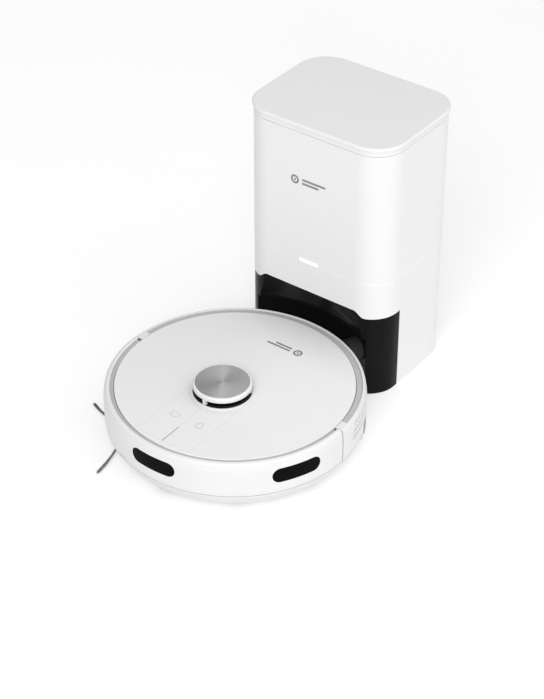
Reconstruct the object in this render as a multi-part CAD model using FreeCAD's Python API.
"""Robot vacuum parked in its self-emptying dock.

Millimetres, +Z up. The origin is on the floor at the middle of the dock's footprint.
The dock's back is at +Y and the robot drives off towards -Y, which is also the robot's forward direction.
Robot pieces are drawn about the robot's own centre and moved to ROBOT_Y at the end.
"""
import FreeCAD, Part
import math
import os

# Dock outline
DOCK_WIDTH = 235.0
DOCK_DEPTH = 182.5
DOCK_HEIGHT = 392.5
DOCK_CORNER = 45.0
SHELL_INSET = 2.0
SHELL_WALL = 2.6
BASE_TOP = 3.0
FRONT_DEPTH = 52.0
SKIRT_LOW = 126.8
SKIRT_HIGH = 136.5
SKIRT_HALF = 81.0
SKIRT_SLOPE = 5.5
SEAM_LOW = 183.6
SEAM_HIGH = 184.2
SKIN_LOW = 0.6
UPPER_TOP = 379.4
LID_BAND_LOW = 380.2
LID_PLATE_LOW = 387.4
LID_OPEN_CUT = 384.0

# Robot outline
ROBOT_RADIUS = 175.0
DOCK_OVERLAP = 10.0
WALL_INNER = 172.0
RIM_TOP = 83.4
BUMPER_TOP = 85.0
BUMPER_LIP = 166.4
FLANK_START = 72.5
FLANK_LEAN = 2.0
FLANK_CURVE = 30.0
BUMPER_LOW = 33.0
HOUSING_LOW = 32.7
SEAM_BUMPER = 0.8
SEAM_HOUSING = 1.5
COVER_RADIUS = 160.7
COVER_DOME = 1.4
COVER_LOW = 81.0
TRIM_INNER = 161.3
TRIM_OUTER = 168.7
TRIM_LOW = 80.5
TRIM_TOP = 82.0
TRIM_START = 6.0
TRIM_FRONT_START = 0.8
FLOOR_LOW = 10.5
FLOOR_TOP = 13.0
FLOOR_RADIUS = 161.0
TRAY_TOP = 32.4
DECK_LOW = 76.5
DECK_TOP = 79.0
WINDOW_LOW = 49.5
WINDOW_HIGH = 72.0
WINDOW_HALF_ANGLE = 11.4
WINDOW_ANGLES = (-90.0, -25.5, -154.5)
SIDE_WINDOW = (26.0, 47.0, 4.8, 27.5, 6.0)
SCREW_PLACES = ((-60.0, -118.0), (60.0, -118.0), (-128.0, 66.0), (128.0, 66.0),
                (-66.0, -66.0), (66.0, -66.0), (-98.0, 122.0))
CLIFF_PLACES = ((0.0, -154.0), (92.0, -118.0), (-50.0, -143.0), (146.0, -30.0))

# Recess in the dock, measured from the robot's centre
RECESS_RADIUS = 195.0
RECESS_WALL = 3.0
LIP_RADIUS = 190.0
LIP_LOW = 92.0
LIP_TOP = 98.0

# Laser turret
LIDAR_Y = -27.0
COLLAR_INNER = 39.7
COLLAR_OUTER = 41.6
TURRET_RADIUS = 39.5
DISC_RADIUS = 36.6
TURRET_TOP = 101.2
SLOT_LOW = 87.0
SLOT_HIGH = 94.5
PULLEY_SPAN = 52.0
HEAD_PULLEY = 20.0
MOTOR_PULLEY = 4.5

# Keys in the cover
KEY_SLIT = 0.8
KEY_SPLIT = 0.12
KEY_ARC = 44.0
KEY_HALF = 41.7
KEY_FRONT = -152.7
KEY_REAR = -119.6
KEY_GAP = 0.2

# Running gear
WHEEL_X = 118.0
WHEEL_Y = 8.0
WHEEL_RADIUS = 33.0
TYRE_DEPTH = 5.0
TYRE_HALF = 11.0
AXLE_RADIUS = 4.0
ARM_PIVOT = (-46.0, 40.0)
CASTER_Y = -128.0
CASTER_RADIUS = 13.0
CASTER_TRAIL = 7.0
BRUSH_Y = 24.0
BRUSH_Z = 22.0
BRUSH_CORE = 9.0
BRUSH_RADIUS = 20.5
BRUSH_HALF = 73.0
CHAMBER_HALF = 76.0
SIDE_BRUSH = (-110.0, -96.0)
TUFT_LENGTH = 88.0
TUFT_ANGLES = (162.4, 282.4, 42.4)
RUNNING_GAP = 0.05

# Suction path and dock inside
FAN = (96.0, 88.0)
BIN_LOW = 16.0
BIN_TOP = 75.0
PORT_ANGLE = 68.0
PORT_Z = 66.0
PORT_RADIUS = 17.0
PORT_BORE = 11.0
CONTACT_X = 22.0
CONTACT_Z = (36.0, 43.0)
DOCK_FAN = (-15.0, 22.0)
DUCT_X = (63.0, 93.0)
DUCT_Y = (-50.0, -20.0)
DUCT_WALL = 2.0
FOOT_PLACES = ((-95.0, -48.0), (95.0, -48.0), (-88.0, 66.0), (88.0, 66.0))

HALF_WIDTH = DOCK_WIDTH / 2
HALF_DEPTH = DOCK_DEPTH / 2
ROBOT_Y = DOCK_OVERLAP - ROBOT_RADIUS - HALF_DEPTH
FRONT_PLANE = -HALF_DEPTH + FRONT_DEPTH
PINS_Y = HALF_DEPTH - 3.05
HINGE_Z = LID_BAND_LOW - 0.2


# ---------------------------------------------------------------- shape helpers

def vec(x, y, z):
    return FreeCAD.Vector(x, y, z)


def box(x0, x1, y0, y1, z0, z1):
    return Part.makeBox(x1 - x0, y1 - y0, z1 - z0, vec(x0, y0, z0))


def rod(radius, z0, z1, x=0.0, y=0.0):
    return Part.makeCylinder(radius, z1 - z0, vec(x, y, z0), vec(0, 0, 1))


def rod_x(radius, x0, x1, y, z):
    return Part.makeCylinder(radius, x1 - x0, vec(x0, y, z), vec(1, 0, 0))


def rod_y(radius, y0, y1, x, z):
    return Part.makeCylinder(radius, y1 - y0, vec(x, y0, z), vec(0, 1, 0))


def ring(outer, inner, z0, z1, x=0.0, y=0.0):
    return rod(outer, z0, z1, x, y).cut(rod(inner, z0 - 1, z1 + 1, x, y))


def ring_x(outer, inner, x0, x1, y, z):
    return rod_x(outer, x0, x1, y, z).cut(rod_x(inner, x0 - 1, x1 + 1, y, z))


def fuse(shapes):
    whole = shapes[0]
    for shape in shapes[1:]:
        whole = whole.fuse(shape)
    return whole.removeSplitter()


def cut(shape, tools):
    for tool in tools:
        shape = shape.cut(tool)
    return shape


def group(shapes):
    return Part.Compound(shapes)


def turned(shape, degrees, centre=(0.0, 0.0), axis=(0, 0, 1)):
    copy = shape.copy()
    copy.rotate(vec(centre[0], centre[1], 0), vec(*axis), degrees)
    return copy


def moved(shape, x, y, z):
    copy = shape.copy()
    copy.translate(vec(x, y, z))
    return copy


def mirrored(shape):
    return shape.mirror(vec(0, 0, 0), vec(1, 0, 0))


def polar(radius, degrees, z=0.0):
    angle = math.radians(degrees)
    return vec(radius * math.cos(angle), radius * math.sin(angle), z)


def outline(points, place):
    """Face from corners (u, v) or (u, v, rounding); place turns (u, v) into a point in space."""
    count = len(points)
    starts = []
    edges = []
    for index, corner in enumerate(points):
        here = vec(corner[0], corner[1], 0)
        if len(corner) == 2:
            starts.append((here, None, here))
            continue
        before = vec(*points[index - 1][:2], 0).sub(here).normalize()
        after = vec(*points[(index + 1) % count][:2], 0).sub(here).normalize()
        half = before.getAngle(after) / 2
        reach = corner[2] / math.tan(half)
        middle_line = before.add(after).normalize()
        bulge = corner[2] / math.sin(half) - corner[2]
        starts.append((here + before * reach, here + middle_line * bulge, here + after * reach))
    for index, (enter, middle, leave) in enumerate(starts):
        if middle is not None:
            arc = Part.Arc(place(enter.x, enter.y), place(middle.x, middle.y), place(leave.x, leave.y))
            edges.append(arc.toShape())
        following = starts[(index + 1) % count][0]
        if (following - leave).Length > 1e-6:
            edges.append(Part.makeLine(place(leave.x, leave.y), place(following.x, following.y)))
    return Part.Face(Part.Wire(edges))


def revolved(points, start=0.0, sweep=360.0, centre=(0.0, 0.0)):
    """Solid of revolution about the vertical line at centre, from a profile of (radius, height)."""
    face = outline(points, lambda r, z: vec(centre[0] + r, centre[1], z))
    solid = face.revolve(vec(centre[0], centre[1], 0), vec(0, 0, 1), sweep)
    return turned(solid, start, centre)


def rounded_prism(x0, x1, y0, y1, z0, z1, corner):
    """Upright block with its four vertical edges rounded."""
    points = [(x0, y0, corner), (x1, y0, corner), (x1, y1, corner), (x0, y1, corner)]
    return outline(points, lambda x, y: vec(x, y, z0)).extrude(vec(0, 0, z1 - z0))


def footprint(inset, z0, z1):
    """Dock outline, drawn in by inset on every side."""
    return rounded_prism(-HALF_WIDTH + inset, HALF_WIDTH - inset, -HALF_DEPTH + inset,
                         HALF_DEPTH - inset, z0, z1, DOCK_CORNER - inset)


def fillet_where(shape, radius, wanted):
    """Round each edge whose box passes the test; the sharp solid stays if rounding is impossible."""
    edges = [edge for edge in shape.Edges if wanted(edge.BoundBox)]
    return shape.makeFillet(radius, edges) if edges else shape


def radial_pill(z0, z1, half_angle, angle, corner, inner=150.0, outer=185.0):
    """Rounded bar that points outwards from the robot's centre, used to cut and fill wall windows."""
    half = ROBOT_RADIUS * math.sin(math.radians(half_angle))
    points = [(-half, z0, corner), (half, z0, corner), (half, z1, corner), (-half, z1, corner)]
    face = outline(points, lambda u, v: vec(inner, u, v))
    return turned(face.extrude(vec(outer - inner, 0, 0)), angle)


def coil(radius, wire, pitch, length, start, direction):
    """Open coil spring along direction."""
    helix = Part.makeHelix(pitch, length, radius)
    profile = Part.Wire(Part.makeCircle(wire, vec(radius, 0, 0), vec(0, 1, 0)))
    spring = Part.Wire(helix.Edges).makePipeShell([profile], True, True)
    spring.rotate(vec(0, 0, 0), vec(direction[1], -direction[0], 0), -90)
    return moved(spring, *start)


def inner_space(inset, top):
    """Room inside the robot, above the tray and within the side walls."""
    return revolved([(0, FLOOR_TOP + inset), (158.4 - inset, FLOOR_TOP + inset), (169.4 - inset, 31.5),
                     (171.4 - inset, 35), (171.4 - inset, top), (0, top)])


# ---------------------------------------------------------------- robot: outer skin

def window_tools():
    return [radial_pill(WINDOW_LOW, WINDOW_HIGH, WINDOW_HALF_ANGLE, angle, 11.0) for angle in WINDOW_ANGLES]


def front_bumper():
    profile = [(WALL_INNER, BUMPER_LOW), (174.2, BUMPER_LOW, 1.2), (ROBOT_RADIUS, BUMPER_LOW + 7),
               (ROBOT_RADIUS, FLANK_START, FLANK_CURVE), (ROBOT_RADIUS - FLANK_LEAN, BUMPER_TOP, 4.5),
               (BUMPER_LIP, BUMPER_TOP, 0.8),
               (BUMPER_LIP, BUMPER_TOP - 2.4), (WALL_INNER, BUMPER_TOP - 2.4)]
    shell = revolved(profile, 180, 180)
    ends = box(-200, 200, -SEAM_BUMPER, 10, 0, 120)
    return cut(shell, [ends] + window_tools())


def bumper_windows():
    glass = revolved([(172.3, 40), (ROBOT_RADIUS, 40), (ROBOT_RADIUS, 80), (172.3, 80)], 180, 180)
    return group([glass.common(tool) for tool in window_tools()])


def bumper_springs():
    springs = []
    for side in (-1, 1):
        springs.append(coil(3.2, 0.4, 1.8, 8.2, (side * 70.0, -146.6, 58.0), (0, -1)))
    return group(springs)


def vent_tools():
    """Three rows of slanted slots in the left side wall."""
    tools = []
    for column in range(10):
        for row in range(3):
            slot = rounded_prism(-1.1, 1.1, -3.9, 3.9, 165, 180, 1.05)
            slot.rotate(vec(0, 0, 0), vec(0, 0, 1), -32)
            slot.rotate(vec(0, 0, 0), vec(0, 1, 0), 90)
            slot.rotate(vec(0, 0, 0), vec(1, 0, 0), 90)
            slot.translate(vec(0, 0, 54.0 + 10.4 * row))
            tools.append(turned(slot, 9.5 + 2.3 * column + 0.9 * row))
    return tools


def port_tool(radius, inner, outer):
    start = polar(inner, PORT_ANGLE, PORT_Z)
    return Part.makeCylinder(radius, outer - inner, start, polar(1, PORT_ANGLE))


def contact_tools(inner, outer):
    tools = []
    for side in (-1, 1):
        low = side * CONTACT_X - 7
        bar = box(low, low + 14, inner, outer, CONTACT_Z[0], CONTACT_Z[1])
        tools.append(bar)
    return tools


def rear_housing():
    profile = [(WALL_INNER, HOUSING_LOW), (174.2, HOUSING_LOW, 1.2), (ROBOT_RADIUS, HOUSING_LOW + 7),
               (ROBOT_RADIUS, FLANK_START, FLANK_CURVE), (ROBOT_RADIUS - FLANK_LEAN, RIM_TOP, 3.5),
               (TRIM_OUTER + 0.3, RIM_TOP, 0.6),
               (TRIM_OUTER + 0.3, TRIM_LOW - 0.3), (WALL_INNER, TRIM_LOW - 0.3)]
    shell = revolved(profile, 0, 180)
    bridge = [(TRIM_INNER, TRIM_LOW), (TRIM_OUTER + 0.8, TRIM_LOW), (TRIM_OUTER + 0.8, RIM_TOP),
              (TRIM_INNER, RIM_TOP, 0.6)]
    sweep = TRIM_START - 0.1
    bridges = [revolved(bridge, 0, sweep), revolved(bridge, 180 - sweep, sweep)]
    bay = [(171, 23), (174.4, 23), (ROBOT_RADIUS, 26), (ROBOT_RADIUS, 42), (171, 42)]
    window_bay = revolved(bay, 21, 13)
    shell = fuse([shell, window_bay] + bridges)
    ends = box(-200, 200, -10, SEAM_HOUSING, 0, 120)
    strips = Part.Compound(contact_tools(160, 180)).common(ring(ROBOT_RADIUS + 1, 174.2, 30, 50))
    tools = [ends, radial_pill(*SIDE_WINDOW), port_tool(PORT_BORE, 150, 185), strips, group(vent_tools())]
    return cut(shell, tools)


def trim_ring():
    """Silver ring round the cover: one arc in the rear housing, and one that runs under the bumper's lip."""
    profile = [(TRIM_INNER, TRIM_LOW), (TRIM_OUTER, TRIM_LOW), (TRIM_OUTER, TRIM_TOP, 0.4),
               (TRIM_INNER, TRIM_TOP, 0.4)]
    rear = revolved(profile, TRIM_START, 180 - 2 * TRIM_START)
    front = revolved(profile, 180 + TRIM_FRONT_START, 180 - 2 * TRIM_FRONT_START)
    return group([rear, front])


def cover_blank():
    """Slightly domed disc: its top is a row of shallow cone bands that follow a parabola."""
    profile = [(0, COVER_LOW), (COVER_RADIUS, COVER_LOW), (COVER_RADIUS, RIM_TOP, 0.9)]
    for share in (0.88, 0.75, 0.6, 0.45, 0.3, 0.15, 0):
        profile.append((COVER_RADIUS * share, RIM_TOP + COVER_DOME * (1 - share ** 2)))
    return revolved(profile)


def top_cover():
    """Domed cover with a collar round the turret and an opening for the two keys."""
    collar = revolved([(COLLAR_INNER, COVER_LOW), (COLLAR_OUTER, COVER_LOW), (COLLAR_OUTER, SLOT_LOW, 0.7),
                       (COLLAR_INNER, SLOT_LOW)], centre=(0.0, LIDAR_Y))
    hole = rod(COLLAR_INNER, 70, 95, 0, LIDAR_Y)
    opening = key_outline(0, KEY_GAP, KEY_SPLIT)
    return cut(cover_blank(), [opening]).fuse(collar).cut(hole).removeSplitter()


def key_outline(side, margin, inner):
    """Column between the turret's collar and the cover's front edge; side 0 spans both keys."""
    low = -KEY_HALF - margin if side <= 0 else inner
    high = KEY_HALF + margin if side >= 0 else -inner
    column = box(low, high, KEY_FRONT - margin, LIDAR_Y, 70, 90)
    return column.cut(rod(KEY_ARC - margin, 60, 100, 0, LIDAR_Y))


def key_plate(side):
    """One key: a long plate that is split from its neighbour by a wide slit at its front end."""
    slit = box(-KEY_SLIT, KEY_SLIT, KEY_FRONT - 1, KEY_REAR, 70, 90)
    column = key_outline(side, 0, KEY_SPLIT).cut(slit)
    return column.common(cover_blank())


# ---------------------------------------------------------------- robot: frame and chassis

def inner_frame():
    """Deck under the cover, with the inner front wall behind the bumper."""
    front = rod(168, DECK_LOW, DECK_TOP).common(box(-200, 200, -200, 0, 0, 100))
    rear = rod(171.4, DECK_LOW, DECK_TOP).common(box(-200, 200, 0, 200, 0, 100))
    rear = rear.cut(ring(180, 160, 0, 100).common(box(-200, 200, -10, 3.5, 0, 100)))
    wall = revolved([(157.6, HOUSING_LOW), (160, HOUSING_LOW), (160, DECK_TOP), (157.6, DECK_TOP)], 180, 180)
    rest = [(163, DECK_TOP - 1), (167, DECK_TOP - 1), (167, TRIM_LOW), (163, TRIM_LOW)]
    trim_rest = fuse([revolved(rest, TRIM_START, 180 - 2 * TRIM_START), revolved(rest, 181, 178)])
    ribs = [ring(radius + 2, radius, DECK_TOP - 1, COVER_LOW) for radius in (100, 150)]
    frame = fuse([front, rear, wall, trim_rest] + ribs)
    turret_hole = rod(TURRET_RADIUS + 3, 70, 90, 0, LIDAR_Y)
    belt_hole = box(0, PULLEY_SPAN + 12, LIDAR_Y - 16, LIDAR_Y + 16, 70, 90)
    key_hole = box(-KEY_HALF - 2, KEY_HALF + 2, -156, KEY_REAR + 8, 70, 90)
    key_room = box(-KEY_HALF - 2, KEY_HALF + 2, -156, LIDAR_Y, DECK_TOP, 90)
    return cut(frame, [turret_hole, belt_hole, key_hole, key_room])


def wheel_well(side):
    """Roof and outer cheek over one drive wheel, with the two lugs that carry the arm's pivot."""
    roof = box(92, 137, -32, 48, 71, 73)
    cheek = box(135, 137, -32, 48, FLOOR_TOP - 1, 72)
    outer_lug = box(106, 111, -54, -38, FLOOR_TOP - 1, 48)
    inner_lug = box(55, 60, -54, -38, FLOOR_TOP - 1, 48)
    lugs = cut(group([outer_lug, inner_lug]), [rod_x(3 + RUNNING_GAP, 50, 115, *ARM_PIVOT)])
    parts = [roof, cheek] + lugs.Solids
    return parts if side > 0 else [mirrored(part) for part in parts]


def base_chassis():
    tray = revolved([(0, FLOOR_LOW), (FLOOR_RADIUS, FLOOR_LOW, 3), (173.6, TRAY_TOP - 2.4, 6),
                     (174.2, TRAY_TOP), (171.0, TRAY_TOP), (159.4, FLOOR_TOP), (0, FLOOR_TOP)])
    chamber = box(-CHAMBER_HALF - 2.5, CHAMBER_HALF + 2.5, 0.5, 49.5, FLOOR_TOP - 1, 50.5)
    neck = box(-47, 47, 45, 51.6, 18, 42)
    caster_dome = rod(24, FLOOR_TOP - 1, 36, 0, CASTER_Y)
    caster_boss = rod(8, 35, 48, 0, CASTER_Y)
    bosses = [rod(6, FLOOR_TOP - 1, 22, x, y) for x, y in SCREW_PLACES]
    tray = fuse([tray, chamber, neck, caster_dome, caster_boss] + bosses + wheel_well(-1) + wheel_well(1))
    tools = [box(-CHAMBER_HALF, CHAMBER_HALF, 3, 47, 0, 48), box(-44, 44, 40, 55, 20, 40),
             rod_x(AXLE_RADIUS + RUNNING_GAP, -80, 80, BRUSH_Y, BRUSH_Z),
             rod(22, 0, 34, 0, CASTER_Y), rod(4 + RUNNING_GAP, 30, 44, 0, CASTER_Y),
             rod(13, 0, 20, *SIDE_BRUSH)]
    for side in (-1, 1):
        low = min(side * 91, side * 134)
        tools.append(box(low, low + 43, WHEEL_Y - 42, WHEEL_Y + 39, 0, 20))
    for x, y in SCREW_PLACES:
        tools.append(rod(3.4, 0, 13.5, x, y))
        tools.append(rod(1.5, 10, 20, x, y))
    for x, y in CLIFF_PLACES:
        tools.append(rounded_prism(x - 9, x + 9, y - 4, y + 4, 10, 12, 3))
    tools.append(revolved([(170.5, 22.5), (180, 22.5), (180, 35), (170.5, 35)], 20.5, 14))
    return cut(tray, tools)


def robot_screws():
    screws = []
    for x, y in SCREW_PLACES:
        head = rod(3.2, 11.2, 13.5, x, y)
        recess = group([box(x - 2, x + 2, y - 0.5, y + 0.5, 10, 12.2),
                        box(x - 0.5, x + 0.5, y - 2, y + 2, 10, 12.2)])
        screws.append(fuse([head, rod(1.45, 13, 19.5, x, y)]).cut(recess))
    return group(screws)


def sensor_windows():
    glass = revolved([(172.6, 24), (ROBOT_RADIUS, 26), (ROBOT_RADIUS, 48), (172.6, 48)], 20, 15)
    pieces = [glass.common(radial_pill(*SIDE_WINDOW))]
    for x, y in CLIFF_PLACES:
        pieces.append(rounded_prism(x - 8.8, x + 8.8, y - 3.8, y + 3.8, FLOOR_LOW, 12, 2.8))
    return group(pieces)


def robot_contacts():
    strips = []
    for bar in contact_tools(160, 180):
        strips.append(bar.common(ring(ROBOT_RADIUS, 174.2, 30, 50)))
    return group(strips)


# ---------------------------------------------------------------- robot: laser turret

def turret_cap():
    centre = (0.0, LIDAR_Y)
    bezel = revolved([(0, SLOT_HIGH), (TURRET_RADIUS, SLOT_HIGH, 0.8), (TURRET_RADIUS, TURRET_TOP, 3.0),
                      (DISC_RADIUS + 0.1, TURRET_TOP, 0.4), (DISC_RADIUS + 0.1, 98.6), (0, 98.6)],
                     centre=centre)
    posts = []
    for angle in (-90, 30, 150):
        post = box(35.6, 39.2, -2.5, 2.5, SLOT_LOW, SLOT_HIGH + 0.5)
        post.translate(vec(0, LIDAR_Y, 0))
        posts.append(turned(post, angle, centre))
    return fuse([bezel] + posts)


def turret_disc():
    return revolved([(0, 98.6), (DISC_RADIUS, 98.6), (DISC_RADIUS, TURRET_TOP, 0.5), (0, TURRET_TOP)],
                    centre=(0.0, LIDAR_Y))


def lidar_base():
    centre = (0.0, LIDAR_Y)
    plate = rod(39.2, 57, 59.5, *centre)
    tail = rounded_prism(-10, PULLEY_SPAN + 11, LIDAR_Y - 12, LIDAR_Y + 12, 57, 59.5, 10)
    wall = ring(39.2, 37.2, 59, SLOT_LOW, *centre)
    lip = revolved([(35.2, SLOT_LOW - 1.6), (39.2, SLOT_LOW - 1.6), (39.2, SLOT_LOW, 0.5), (35.2, SLOT_LOW)],
                   centre=centre)
    spindle = rod(5, 59, 72, *centre)
    base = fuse([plate, tail, wall, lip, spindle])
    belt_gap = box(0, 60, LIDAR_Y - 24, LIDAR_Y + 24, 59.5, 68)
    shaft_hole = rod(2.5, 50, 62, PULLEY_SPAN, LIDAR_Y)
    return cut(base, [belt_gap.cut(rod(30, 50, 90, *centre)), shaft_hole])


def lidar_head():
    centre = (0.0, LIDAR_Y)
    puck = revolved([(0, 69), (33, 69, 1), (33, SLOT_HIGH - 0.8, 2), (0, SLOT_HIGH - 0.8)], centre=centre)
    pulley = revolved([(0, 61), (HEAD_PULLEY + 1.5, 61), (HEAD_PULLEY, 62), (HEAD_PULLEY, 66),
                       (HEAD_PULLEY + 1.5, 67), (HEAD_PULLEY + 1.5, 70), (0, 70)], centre=centre)
    windows = [rod_y(5.5, LIDAR_Y - 36, LIDAR_Y - 30, x, 88.5) for x in (-11, 11)]
    return cut(fuse([puck, pulley]), [rod(5 + RUNNING_GAP, 60, 73, *centre)] + windows)


def lidar_motor():
    can = rod(10, 36, 56.8, PULLEY_SPAN, LIDAR_Y)
    boss = rod(4, 33, 37, PULLEY_SPAN, LIDAR_Y)
    return fuse([can, boss]).cut(rod(1 + RUNNING_GAP, 50, 60, PULLEY_SPAN, LIDAR_Y))


def lidar_pulley():
    centre = (PULLEY_SPAN, LIDAR_Y)
    wheel = revolved([(0, 61), (MOTOR_PULLEY + 1.5, 61), (MOTOR_PULLEY, 62), (MOTOR_PULLEY, 66),
                      (MOTOR_PULLEY + 1.5, 67), (0, 67)], centre=centre)
    return fuse([wheel, rod(1, 51, 62, *centre)])


def belt_path(extra):
    """Outline of a band round both pulleys."""
    big = HEAD_PULLEY + extra
    small = MOTOR_PULLEY + extra
    lean = math.degrees(math.asin((big - small) / PULLEY_SPAN))
    upper = (polar(big, 90 - lean), polar(small, 90 - lean) + vec(PULLEY_SPAN, 0, 0))
    lower = (polar(small, lean - 90) + vec(PULLEY_SPAN, 0, 0), polar(big, lean - 90))
    edges = [Part.makeLine(upper[0], upper[1]),
             Part.Arc(upper[1], vec(PULLEY_SPAN + small, 0, 0), lower[0]).toShape(),
             Part.makeLine(lower[0], lower[1]),
             Part.Arc(lower[1], vec(-big, 0, 0), upper[0]).toShape()]
    return Part.Face(Part.Wire(edges))


def lidar_belt():
    band = belt_path(1.3).extrude(vec(0, 0, 3.2)).cut(belt_path(0.3).extrude(vec(0, 0, 3.2)))
    return moved(band, 0, LIDAR_Y, 62.4)


# ---------------------------------------------------------------- robot: running gear, left side first

def wheel_hub():
    inner = WHEEL_X - TYRE_HALF + 1
    outer = WHEEL_X + TYRE_HALF - 1
    rim = ring_x(WHEEL_RADIUS - TYRE_DEPTH, 22, inner, outer, WHEEL_Y, 33)
    web = rod_x(23, inner, inner + 6, WHEEL_Y, 33)
    boss = rod_x(9, inner, outer - 2, WHEEL_Y, 33)
    spokes = []
    for index in range(6):
        spoke = box(inner, outer - 6, WHEEL_Y - 1.6, WHEEL_Y + 1.6, 33, 33 + 23)
        spoke.rotate(vec(0, WHEEL_Y, 33), vec(1, 0, 0), 60 * index)
        spokes.append(spoke)
    axle = rod_x(AXLE_RADIUS, 95, inner + 1, WHEEL_Y, 33)
    return fuse([rim, web, boss, axle] + spokes)


def tyre():
    x0 = WHEEL_X - TYRE_HALF
    x1 = x0 + 2 * TYRE_HALF
    face = outline([(WHEEL_RADIUS - TYRE_DEPTH, x0), (WHEEL_RADIUS, x0, 1.8),
                    (WHEEL_RADIUS, x1, 1.8), (WHEEL_RADIUS - TYRE_DEPTH, x1)],
                   lambda r, x: vec(x, WHEEL_Y + r, 33))
    band = face.revolve(vec(0, WHEEL_Y, 33), vec(1, 0, 0), 360)
    grooves = []
    for index in range(24):
        for half, lean in ((0, 25), (1, -25)):
            groove = box(-0.9, 0.9, -6.5, 6.5, WHEEL_RADIUS - 1.6, WHEEL_RADIUS + 3)
            groove.rotate(vec(0, 0, 0), vec(0, 0, 1), 90 + lean)
            groove.translate(vec(WHEEL_X - 6.2 + 12.4 * half, WHEEL_Y, 33))
            groove.rotate(vec(0, WHEEL_Y, 33), vec(1, 0, 0), 15 * index + 7.5 * half)
            grooves.append(groove)
    return band.cut(group(grooves))


def wheel_arm():
    pivot_y, pivot_z = ARM_PIVOT
    corners = [(pivot_y - 9, pivot_z - 8, 6), (WHEEL_Y - 4, 33 - 13, 6), (WHEEL_Y + 13, 33 - 13, 6),
               (WHEEL_Y + 13, 33 + 13, 6), (pivot_y + 4, pivot_z + 10, 6), (pivot_y - 9, pivot_z + 10, 6)]
    slab = outline(corners, lambda y, z: vec(92.5, y, z)).extrude(vec(11.5, 0, 0))
    motor = rod_x(11, 63, 93, pivot_y, pivot_z)
    pins = [rod_x(3, 56, 64, pivot_y, pivot_z), rod_x(3, 103, 110, pivot_y, pivot_z)]
    return fuse([slab, motor] + pins).cut(rod_x(AXLE_RADIUS + RUNNING_GAP, 94, 110, WHEEL_Y, 33))


def suspension_spring():
    pivot_y, pivot_z = ARM_PIVOT
    return coil(12.6, 0.9, 3.0, 18.0, (68.0, pivot_y, pivot_z), (1, 0))


def caster_fork():
    plate = rod(17, 27.5, 31, 0, CASTER_Y)
    stem = rod(4, 30, 43, 0, CASTER_Y)
    legs = []
    for side in (-1, 1):
        low = min(side * 8, side * 11)
        legs.append(box(low, low + 3, CASTER_Y + CASTER_TRAIL - 5, CASTER_Y + CASTER_TRAIL + 5, 9, 28))
    fork = fuse([plate, stem] + legs)
    return fork.cut(rod_x(2 + RUNNING_GAP, -12, 12, CASTER_Y + CASTER_TRAIL, CASTER_RADIUS))


def caster_wheel():
    y = CASTER_Y + CASTER_TRAIL
    face = outline([(0, -7), (CASTER_RADIUS, -7, 2), (CASTER_RADIUS, 7, 2), (0, 7)],
                   lambda r, x: vec(x, y + r, CASTER_RADIUS))
    wheel = face.revolve(vec(0, y, CASTER_RADIUS), vec(1, 0, 0), 360)
    return fuse([wheel, rod_x(2, -10.6, 10.6, y, CASTER_RADIUS)])


# ---------------------------------------------------------------- robot: brushes

def main_brush_core():
    core = rod_x(BRUSH_CORE, -BRUSH_HALF, BRUSH_HALF, BRUSH_Y, BRUSH_Z)
    shaft = rod_x(AXLE_RADIUS, -78, 85, BRUSH_Y, BRUSH_Z)
    return fuse([core, shaft])


def main_brush_bristles():
    """Three bristle rows and three rubber blades, alternating round the core."""
    rows = []
    for index in range(6):
        width = 2.6 if index % 2 == 0 else 1.4
        reach = BRUSH_RADIUS - (0 if index % 2 == 0 else 1.2)
        root = BRUSH_CORE + 0.02
        corners = [(-width / 2, root), (width / 2, root), (width / 2, reach), (-width / 2, reach)]
        section = outline(corners, lambda u, v: vec(-BRUSH_HALF + 2, BRUSH_Y + u, BRUSH_Z + v))
        blade = section.extrude(vec(2 * BRUSH_HALF - 4, 0, 0))
        blade = blade.cut(rod_x(BRUSH_CORE, -90, 90, BRUSH_Y, BRUSH_Z))
        blade.rotate(vec(0, BRUSH_Y, BRUSH_Z), vec(1, 0, 0), 60 * index)
        rows.append(blade)
    return group(rows)


def brush_guard():
    frame = rounded_prism(-84, 84, -4, 54, 8.2, FLOOR_LOW - 0.1, 5)
    frame = frame.cut(rounded_prism(-75, 75, 2.5, 47.5, 5, 12, 3))
    frame = fillet_where(frame, 0.8, lambda b: b.ZMax < 8.3)
    tabs = [box(x - 6, x + 6, 50, 53, 7.2, 8.4) for x in (-60, 60)]
    return fuse([frame] + tabs)


def brush_motor():
    casing = outline([(-26, 13.2, 5), (36, 13.2, 5), (36, 34, 8), (-26, 36, 8)],
                     lambda y, z: vec(80.2, y, z)).extrude(vec(10.3, 0, 0))
    can = rod_x(11, 42, 81, -14, 25)
    return fuse([casing, can]).cut(rod_x(AXLE_RADIUS + RUNNING_GAP, 70, 86, BRUSH_Y, BRUSH_Z))


def side_brush_hub():
    x, y = SIDE_BRUSH
    disc = revolved([(0, 5.0), (11, 5.0, 1.5), (11, 9.6), (0, 9.6)], centre=SIDE_BRUSH)
    return fuse([disc, rod(3, 9, 24, x, y)])


def side_brush_bristles():
    """Three tufts of stiff bristle that slope down from the hub to just above the floor."""
    x, y = SIDE_BRUSH
    tufts = []
    for angle in TUFT_ANGLES:
        points = [(11.1, 9.4), (11.1, 5.6), (30, 5.0), (TUFT_LENGTH, 1.6), (TUFT_LENGTH, 3.0), (30, 8.0)]
        face = outline(points, lambda r, z: vec(x + r, y - 1.4, z))
        tufts.append(turned(face.extrude(vec(0, 2.8, 0)), angle, SIDE_BRUSH))
    return group(tufts)


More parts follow.
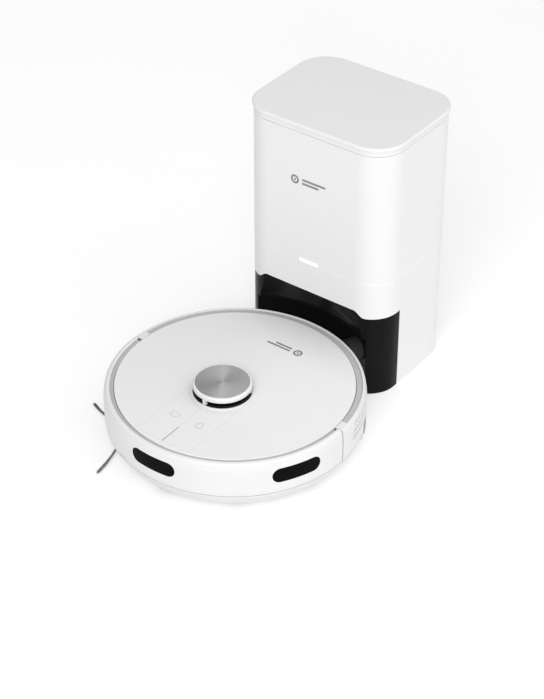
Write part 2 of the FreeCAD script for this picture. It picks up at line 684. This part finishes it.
def side_brush_motor():
    x, y = SIDE_BRUSH
    gearbox = rounded_prism(x - 14, x + 24, y - 14, y + 14, 13.2, 34, 6)
    can = rod(9, 33, 56, x + 12, y)
    body = fuse([gearbox, can]).common(rod(157, 0, 90)).common(inner_space(0.2, 90))
    return body.cut(rod(3 + RUNNING_GAP, 10, 26, x, y))


# ---------------------------------------------------------------- robot: suction path, power and control

def bin_blank(inset):
    """The bin's plan shape between the brush chamber and the back wall."""
    main = box(-84 + inset, 60 - inset, 52 + inset, 172, BIN_LOW + inset, BIN_TOP - inset)
    annex = box(50, 88 - inset, 124 + inset, 172, BIN_LOW + inset, BIN_TOP - inset)
    return fuse([main, annex]).common(inner_space(inset + 0.3, 90))


def dust_bin():
    shell = bin_blank(0).cut(bin_blank(2.2))
    mouth = box(-42, 42, 50, 56, 22, 38)
    air_window = box(56, 61, 62, 116, 26, 56)
    return cut(shell, [mouth, air_window, port_tool(PORT_BORE, 150, 185)])


def bin_filter():
    """Pleated panel in the window between bin and fan."""
    panel = box(53.0, 59.6, 62.2, 115.8, 26.2, 55.8)
    notches = [box(50, 57.8, 64.6 + 3.4 * index, 66.4 + 3.4 * index, 28, 54) for index in range(15)]
    return cut(panel, notches)


def fan_housing():
    x, y = FAN
    can = rod(32, 16, 58, x, y)
    snout = box(x + 10, 163, 66, 84, 50, 70).common(rod(170.5, 0, 100))
    body = fuse([can, box(x - 33.5, x, y - 14, y + 14, 28, 52), snout])
    hollow = rod(29.5, 19, 55.5, x, y)
    inlet = box(x - 35, x, y - 12, y + 12, 30, 50)
    outlet = box(x + 12, 175, 68, 82, 52, 68)
    spindle = rod(3, 18, 40, x, y)
    return fuse([cut(body, [hollow, inlet, outlet]).common(inner_space(0.3, 75)), spindle])


def fan_impeller():
    x, y = FAN
    disc = rod(27, 44, 46.5, x, y)
    hub = rod(8, 38, 53, x, y)
    blades = []
    for index in range(9):
        blade = box(7, 26, -0.9, 0.9, 46, 53)
        blade.rotate(vec(8, 0, 0), vec(0, 0, 1), 28)
        blade.translate(vec(x, y, 0))
        blades.append(turned(blade, 40 * index, FAN))
    return fuse([disc, hub] + blades).cut(rod(3 + RUNNING_GAP, 30, 41, x, y))


def battery_pack():
    pack = rounded_prism(-37.5, 37.5, -98, -28, 13.4, 51, 4)
    grooves = [box(x - 0.6, x + 0.6, -100, -26, 50, 52) for x in (-18.5, 0, 18.5)]
    return cut(pack, grooves)


def main_board():
    """Circuit board under the keys, with its chips and the two key switches."""
    board = box(-45, 110, -156, -106, 66, 67.6).common(rod(156.5, 0, 100))
    chips = [box(0, 16, -140, -124, 67.6, 69.2), box(24, 34, -138, -128, 67.6, 69.0),
             box(60, 84, -128, -114, 67.6, 71.0), box(-12, -4, -118, -110, 67.6, 73.5)]
    switches = []
    for side in (-1, 1):
        x = side * 21.0
        base = box(x - 3.5, x + 3.5, -146, -139, 67.6, 71.0)
        switches.append(fuse([base, rod(1.75, 70, 79.6, x, -142.5)]))
    posts = [rod(3, 48.2, 66, x, -112) for x in (-20, 90)]
    return group([board] + chips + switches + posts)


# ---------------------------------------------------------------- dock: outer skin

def recess_round(radius, z0, z1):
    return rod(radius, z0, z1, 0, ROBOT_Y)


def visor(radius, straight, half_low, half_high, low, high):
    """Sloping hood between the round lip below and the straight skirt edge above."""
    reach = ROBOT_Y + math.sqrt(radius ** 2 - half_low ** 2)
    ahead = -HALF_DEPTH - 25
    arc_low = Part.Arc(vec(-half_low, reach, low), vec(0, ROBOT_Y + radius, low), vec(half_low, reach, low))
    arc_high = Part.Arc(vec(-half_high, straight, high), vec(0, straight + 0.4, high),
                        vec(half_high, straight, high))
    wires = []
    for arc, half, z in ((arc_low, half_low, low), (arc_high, half_high, high)):
        first = arc.StartPoint
        last = arc.EndPoint
        far_last = vec(half, ahead, z)
        far_first = vec(-half, ahead, z)
        edges = [arc.toShape(), Part.makeLine(last, far_last), Part.makeLine(far_last, far_first),
                 Part.makeLine(far_first, first)]
        wires.append(Part.Wire(edges))
    return Part.makeLoft(wires, True, True)


def skirt_cut(margin, back):
    """The region that the black front piece fills: the skirt above it rises in a soft step at each side."""
    low = SKIRT_LOW + margin
    high = SKIRT_HIGH + margin
    foot = SKIRT_HALF + SKIRT_SLOPE + margin
    shoulder = SKIRT_HALF - SKIRT_SLOPE + margin
    points = [(-150, -10), (150, -10), (150, low), (foot, low, 9), (shoulder, high, 9), (-shoulder, high, 9),
              (-foot, low, 9), (-150, low)]
    return outline(points, lambda x, z: vec(x, -200, z)).extrude(vec(0, back + 200, 0))


def led_bar(margin):
    return rounded_prism(-17 - margin, 13 + margin, -HALF_DEPTH + SHELL_INSET, -HALF_DEPTH + SHELL_INSET + 3,
                         181.4 - margin, 186.4 + margin, 0.2)


def duct_passage(z0, z1):
    return box(DUCT_X[0] - 0.4, DUCT_X[1] + 0.4, DUCT_Y[0] - 0.4, DUCT_Y[1] + 0.4, z0, z1)


def dock_lower_shell():
    skin = footprint(SHELL_INSET, SKIN_LOW, SEAM_LOW)
    skin = fillet_where(skin, 1.4, lambda b: b.ZMin > SEAM_LOW - 0.1)
    inside = footprint(SHELL_INSET + SHELL_WALL, 0, SEAM_LOW - SHELL_WALL)
    neck = footprint(SHELL_INSET + 1.6, SEAM_LOW - 1, SEAM_HIGH).cut(footprint(SHELL_INSET + 6, 100, 200))
    shell = fuse([skin.cut(inside), neck])
    grille = [rounded_prism(x - 2.2, x + 2.2, 80, 95, 40, 90, 2.0) for x in range(-50, 21, 10)]
    inlet = box(34, 62, 80, 95, 14, 34)
    fan_hole = rod(30, 170, 190, *DOCK_FAN)
    tools = [skirt_cut(0, FRONT_PLANE), duct_passage(170, 190), led_bar(0.1), inlet, fan_hole]
    return cut(shell, tools + grille)


def dock_front_cover():
    inset = SHELL_INSET + 0.35
    keep = skirt_cut(-0.35, FRONT_PLANE - 0.35)
    skin = footprint(inset, SKIN_LOW, 150).common(keep)
    opening = [recess_round(RECESS_RADIUS, -5, LIP_LOW), recess_round(LIP_RADIUS, LIP_LOW - 1, LIP_TOP),
               visor(LIP_RADIUS, -HALF_DEPTH + inset + 1.0, 98, 76, LIP_TOP, SKIRT_HIGH - 0.36)]
    wall = RECESS_WALL
    behind = footprint(inset + wall, -5, 150).common(skirt_cut(-0.35 - wall, 0))
    behind = behind.cut(recess_round(RECESS_RADIUS + wall, -5, LIP_LOW + wall + 6))
    hood_top = SKIRT_HIGH + wall + 4
    hood = visor(LIP_RADIUS + wall + 5, -HALF_DEPTH + inset + 6, 104, 82, LIP_TOP + wall, hood_top)
    behind = behind.cut(hood)
    port = moved(port_tool(PORT_BORE + 2, 150, 230), 0, ROBOT_Y, 0)
    slots = []
    for bar in contact_tools(150, 230):
        slots.append(moved(bar.makeOffsetShape(0.4, 0.01), 0, ROBOT_Y, 0))
    return cut(skin, opening + [behind, port, duct_passage(100, 150)] + slots)


def dock_base_plate():
    plate = footprint(SHELL_INSET + RECESS_WALL + 0.8, 0, BASE_TOP)
    plate = plate.cut(recess_round(RECESS_RADIUS + RECESS_WALL + 0.4, -5, 10))
    pockets = [rod(9, -1, 1.5, x, y) for x, y in FOOT_PLACES]
    return cut(plate, pockets)


def dock_feet():
    return group([rod(8.9, 0, 1.5, x, y) for x, y in FOOT_PLACES])


def knuckle(x0, x1):
    return rod_x(3.0, x0, x1, PINS_Y, HINGE_Z)


def dock_upper_shell():
    skin = footprint(SHELL_INSET, SEAM_HIGH + 0.2, UPPER_TOP)
    skin = fillet_where(skin, 0.6, lambda b: b.ZLength < 0.1)
    inside = footprint(SHELL_INSET + SHELL_WALL, SEAM_HIGH + 3.2, UPPER_TOP + 5)
    shell = skin.cut(inside)
    notch = box(-25.6, 25.6, 84.6, 95, HINGE_Z - 3.6, 400)
    shell = shell.cut(notch)
    ears = [knuckle(26, 40), knuckle(-40, -26)]
    webs = [box(26, 40, 86.6, 89.2, 374, HINGE_Z), box(-40, -26, 86.6, 89.2, 374, HINGE_Z)]
    shell = fuse([shell] + ears + webs)
    tools = [duct_passage(180, 200), led_bar(0.1), rod(30, 180, 200, *DOCK_FAN),
             rod_x(1.5 + RUNNING_GAP, -45, 45, PINS_Y, HINGE_Z)]
    return cut(shell, tools)


def dock_lid():
    plate = footprint(0, LID_PLATE_LOW, DOCK_HEIGHT)
    plate = fillet_where(plate, 2.0, lambda b: b.ZMin > DOCK_HEIGHT - 0.1)
    plate = fillet_where(plate, 1.0, lambda b: b.ZMax < LID_PLATE_LOW + 0.1)
    band = footprint(SHELL_INSET, LID_BAND_LOW, LID_PLATE_LOW + 1).cut(
        footprint(SHELL_INSET + SHELL_WALL, 300, 400))
    band = band.cut(box(-84, 84, 80, 95, 300, LID_OPEN_CUT))
    lid = fuse([plate, band, knuckle(-25, 25), box(-25, 25, 86.6, 90.6, HINGE_Z, LID_PLATE_LOW + 0.5)])
    return lid.cut(rod_x(1.5 + RUNNING_GAP, -45, 45, PINS_Y, HINGE_Z))


def lid_hinge_pin():
    return rod_x(1.5, -40, 40, PINS_Y, HINGE_Z)


# ---------------------------------------------------------------- dock: suction path, power and control

def port_gasket():
    """Rubber mouth that seals against the robot's back."""
    boss = port_tool(PORT_RADIUS, 170, RECESS_RADIUS + 3).cut(rod(ROBOT_RADIUS + 0.6, 0, 120))
    boss = boss.common(rod(RECESS_RADIUS - 0.2, 0, 120))
    return moved(boss.cut(port_tool(PORT_BORE, 160, 230)), 0, ROBOT_Y, 0)


def dock_duct():
    """Square pipe: back from the port, up to the bag, and across to its collar."""
    def runs(inset):
        x0, x1 = DUCT_X[0] + inset, DUCT_X[1] - inset
        y0, y1 = DUCT_Y[0] + inset, DUCT_Y[1] - inset
        reach = 4 * (1 if inset else 0)
        low_run = box(x0, x1, -85, y1, 51 + inset, 81 - inset)
        rise = box(x0, x1, y0, y1, 51 + inset, 305 - inset)
        outlet = box(46 - reach, x1, y0, y1, 275 + inset, 305 - inset)
        return fuse([low_run, rise, outlet])
    pipe = runs(0).cut(runs(DUCT_WALL))
    inner_corner = footprint(SHELL_INSET + RECESS_WALL + 0.8, 0, 400)
    return pipe.cut(recess_round(RECESS_RADIUS + RECESS_WALL + 0.4, 0, 200)).common(inner_corner)


def bag_holder():
    plate = box(41, 45.6, -72, 4, 236, 344)
    rails = [box(35, 45.6, -75, -71, 236, 344), box(35, 45.6, 3, 7, 236, 344)]
    foot = box(35, 45.6, -75, 7, 188.3, 236.5)
    hole = rod_x(12, 30, 60, (DUCT_Y[0] + DUCT_Y[1]) / 2, 290)
    return cut(fuse([plate, foot] + rails), [hole])


def dust_bag():
    bag = rounded_prism(-94, 34.5, -60, 62, 200, 352, 24)
    return fillet_where(bag, 14, lambda b: b.ZLength < 0.1)


def dock_fan_housing():
    x, y = DOCK_FAN
    can = rod(50, 40, 116, x, y)
    collar = rod(27, 115, 176, x, y)
    motor = rod(24, 14, 58, x, y)
    feet = [box(x - 40, x + 40, y - 40, y - 30, BASE_TOP, 42),
            box(x - 40, x + 40, y + 30, y + 40, BASE_TOP, 42)]
    body = fuse([can, collar, motor] + feet)
    hollow = [rod(47, 60, 113, x, y), rod(24, 110, 180, x, y)]
    outlet = box(x - 24, x + 24, y + 30, y + 60, 66, 92)
    bearing = rod(4 + RUNNING_GAP, 40, 61, x, y)
    return cut(body, hollow + [outlet, bearing])


def dock_fan_rotor():
    x, y = DOCK_FAN
    disc = rod(42, 70, 73, x, y)
    hub = rod(10, 64, 92, x, y)
    shaft = rod(4, 44, 66, x, y)
    blades = []
    for index in range(11):
        blade = box(9, 40, -1.1, 1.1, 72, 90)
        blade.rotate(vec(10, 0, 0), vec(0, 0, 1), 30)
        blade.translate(vec(x, y, 0))
        blades.append(turned(blade, 360 / 11 * index, DOCK_FAN))
    return fuse([disc, hub, shaft] + blades)


def dock_board():
    board = box(-106, -104.4, -30, 40, 20, 120)
    parts = [box(-104.4, -92, -20, 6, 30, 52), box(-104.4, -86, 12, 34, 30, 60),
             rod_x(8, -104.4, -84, -8, 74), box(-104.4, -101, 10, 26, 76, 96)]
    posts = [rod_x(3, -112.8, -106, y, z) for y in (-24, 34) for z in (26, 114)]
    return group([board] + parts + posts)


def power_inlet():
    body = box(34.2, 61.8, 70, HALF_DEPTH - SHELL_INSET, 14.2, 33.8)
    socket = outline([(38, 18, 5.5), (58, 18, 5.5), (58, 30, 5.5), (38, 30, 5.5)],
                     lambda x, z: vec(x, 74, z)).extrude(vec(0, 30, 0))
    pins = [rod_y(1.2, 73, 84, x, 24) for x in (43.5, 52.5)]
    return fuse([body.cut(socket)] + pins)


def dock_contacts():
    """Two contact plungers on one sprung carrier."""
    noses = []
    for bar in contact_tools(160, 204):
        noses.append(bar.cut(rod(ROBOT_RADIUS + 0.3, 0, 120)))
    carrier = box(-34, 34, 203, 206, CONTACT_Z[0] - 2, CONTACT_Z[1] + 2)
    return moved(fuse(noses + [carrier]), 0, ROBOT_Y, 0)


# ---------------------------------------------------------------- nodes

ROBOT_NODES = {
    "front_bumper": front_bumper, "bumper_windows": bumper_windows, "bumper_springs": bumper_springs,
    "rear_housing": rear_housing, "trim_ring": trim_ring, "top_cover": top_cover,
    "home_key": lambda: key_plate(1), "power_key": lambda: key_plate(-1), "inner_frame": inner_frame,
    "base_chassis": base_chassis, "robot_screws": robot_screws, "sensor_windows": sensor_windows,
    "robot_contacts": robot_contacts, "turret_cap": turret_cap, "turret_disc": turret_disc,
    "lidar_base": lidar_base, "lidar_head": lidar_head, "lidar_motor": lidar_motor,
    "lidar_pulley": lidar_pulley, "lidar_belt": lidar_belt, "left_wheel_hub": wheel_hub, "left_tyre": tyre,
    "left_wheel_arm": wheel_arm, "left_suspension_spring": suspension_spring,
    "right_wheel_hub": lambda: mirrored(wheel_hub()), "right_tyre": lambda: mirrored(tyre()),
    "right_wheel_arm": lambda: mirrored(wheel_arm()),
    "right_suspension_spring": lambda: mirrored(suspension_spring()), "caster_fork": caster_fork,
    "caster_wheel": caster_wheel, "main_brush_core": main_brush_core,
    "main_brush_bristles": main_brush_bristles, "brush_guard": brush_guard, "brush_motor": brush_motor,
    "side_brush_hub": side_brush_hub, "side_brush_bristles": side_brush_bristles,
    "side_brush_motor": side_brush_motor, "dust_bin": dust_bin, "bin_filter": bin_filter,
    "fan_housing": fan_housing, "fan_impeller": fan_impeller, "battery_pack": battery_pack,
    "main_board": main_board,
}

DOCK_NODES = {
    "dock_lower_shell": dock_lower_shell, "dock_front_cover": dock_front_cover,
    "dock_base_plate": dock_base_plate, "dock_feet": dock_feet, "dock_upper_shell": dock_upper_shell,
    "dock_lid": dock_lid, "lid_hinge_pin": lid_hinge_pin, "led_window": lambda: led_bar(0),
    "port_gasket": port_gasket, "dock_duct": dock_duct, "bag_holder": bag_holder, "dust_bag": dust_bag,
    "dock_fan_housing": dock_fan_housing, "dock_fan_rotor": dock_fan_rotor, "dock_board": dock_board,
    "power_inlet": power_inlet, "dock_contacts": dock_contacts,
}


def main():
    os.makedirs("parts", exist_ok=True)
    shapes = {name: moved(make(), 0, ROBOT_Y, 0) for name, make in ROBOT_NODES.items()}
    shapes.update({name: make() for name, make in DOCK_NODES.items()})
    for name, shape in shapes.items():
        if not shape.isValid():
            print("not valid:", name)
        shape.exportStep(f"parts/{name}.step")
    print(len(shapes), "nodes")


main()
